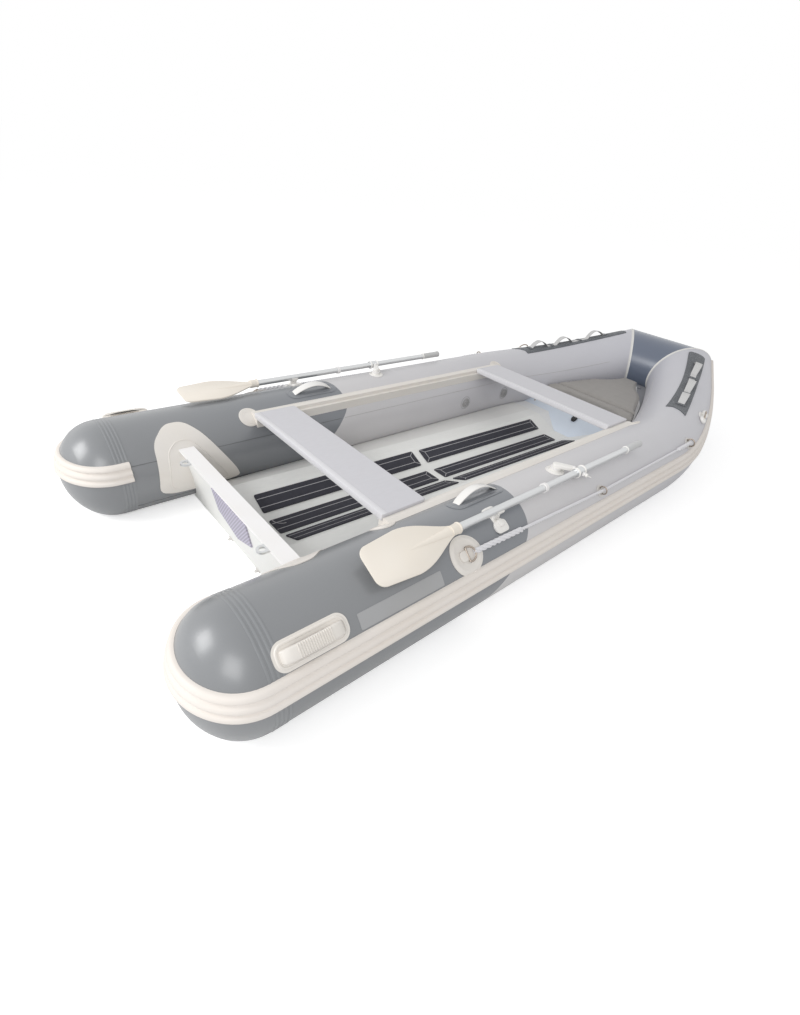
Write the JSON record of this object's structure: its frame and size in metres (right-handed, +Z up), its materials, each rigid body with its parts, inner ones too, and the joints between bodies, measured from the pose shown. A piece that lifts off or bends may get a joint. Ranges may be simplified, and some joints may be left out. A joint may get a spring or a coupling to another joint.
{
  "type": "rigid-hulled inflatable boat with oars",
  "caption": "Rigid-hulled inflatable tender: V-bottomed metal hull and deck between air tubes, with thwarts, a bow locker and seat, a raked transom and stowed oars in swivelling rowlocks.",
  "frame": {"origin": "on the waterline amidships, in the middle plane of the boat", "axes": "+X forward to the bow, +Y to port, +Z up from the water"},
  "size_m": [4.2526, 1.7584, 0.6789],
  "materials": {
    "dark_fabric": "glossy coated fabric",
    "pale_fabric": "satin coated fabric",
    "strake_rubber": "satin",
    "hull_paint": "satin powder coat",
    "deck_paint": "satin powder coat",
    "skirt_fabric": "coated fabric",
    "deck_foam": "matte foam",
    "white_plastic": "satin",
    "bench_plastic": "fine texture",
    "bare_aluminium": "brushed",
    "pad_plastic": "ribbed",
    "pad_rubber": "matte",
    "black_plastic": "moulded",
    "moulded_rubber": "satin",
    "webbing": "woven",
    "cushion_vinyl": "grained vinyl",
    "grip_rubber": "matte",
    "blade_plastic": "moulded"
  },
  "bodies": {
    "boat": {"stern_tube_port": "dark_fabric", "stern_tube_starboard": "dark_fabric", "side_tube_port": "pale_fabric", "side_tube_starboard": "pale_fabric", "bow_tube": "dark_fabric", "rub_strake_port": "strake_rubber", "rub_strake_starboard": "strake_rubber", "rub_strake_bow": "strake_rubber", "hull": "hull_paint", "deck": "deck_paint", "deck_skirts": "skirt_fabric", "deck_mats_aft": "deck_foam", "deck_mats_fore": "deck_foam", "transom": "deck_paint", "transom_cap": "white_plastic", "transom_lug_port": "bare_aluminium", "transom_lug_starboard": "bare_aluminium", "motor_pad_aft": "pad_plastic", "motor_pad_fore": "pad_rubber", "transom_drains": "black_plastic", "transom_patches": "moulded_rubber", "locker_front": "white_plastic", "locker_rim": "white_plastic", "thwart_aft": "bench_plastic", "thwart_fore": "bench_plastic", "seat_rails": "moulded_rubber", "bow_patches": "dark_fabric", "bow_loops": "webbing", "carry_handles": "webbing", "stern_handles": "moulded_rubber", "line_eyes": "moulded_rubber", "valves": "black_plastic", "oar_clips": "moulded_rubber", "locker_latch": "black_plastic", "rowlock_base_port": "moulded_rubber", "rowlock_base_starboard": "moulded_rubber"},
    "lid": {"locker_lid": "white_plastic", "bow_cushion": "cushion_vinyl"},
    "rowlock_port": {"rowlock_port": "white_plastic"},
    "oar_port": {"oar_shaft_port": "bare_aluminium", "oar_stop_port": "white_plastic", "oar_grip_port": "grip_rubber", "oar_blade_port": "blade_plastic"},
    "rowlock_starboard": {"rowlock_starboard": "white_plastic"},
    "oar_starboard": {"oar_shaft_starboard": "bare_aluminium", "oar_stop_starboard": "white_plastic", "oar_grip_starboard": "grip_rubber", "oar_blade_starboard": "blade_plastic"}
  },
  "joints": [
    {"name": "port_oar_swing", "type": "hinge", "parent": "boat", "child": "rowlock_port", "pos_m": [-0.421, 0.649, 0.431], "axis": [0, 0, -1], "range_deg": [0, 100]},
    {"name": "port_oar_lift", "type": "hinge", "parent": "rowlock_port", "child": "oar_port", "pos_m": [-0.377, 0.737, 0.431], "axis": [0, 1, 0], "range_deg": [0, 2]},
    {"name": "starboard_oar_swing", "type": "hinge", "parent": "boat", "child": "rowlock_starboard", "pos_m": [-0.421, -0.649, 0.431], "axis": [0, 0, 1], "range_deg": [0, 100]},
    {"name": "starboard_oar_lift", "type": "hinge", "parent": "rowlock_starboard", "child": "oar_starboard", "pos_m": [-0.377, -0.737, 0.431], "axis": [0, 1, 0], "range_deg": [0, 2]},
    {"name": "locker_lid_open", "type": "hinge", "parent": "boat", "child": "lid", "pos_m": [1.649, 0, 0.242], "axis": [0, 1, 0], "range_deg": [0, 70]}
  ]
}
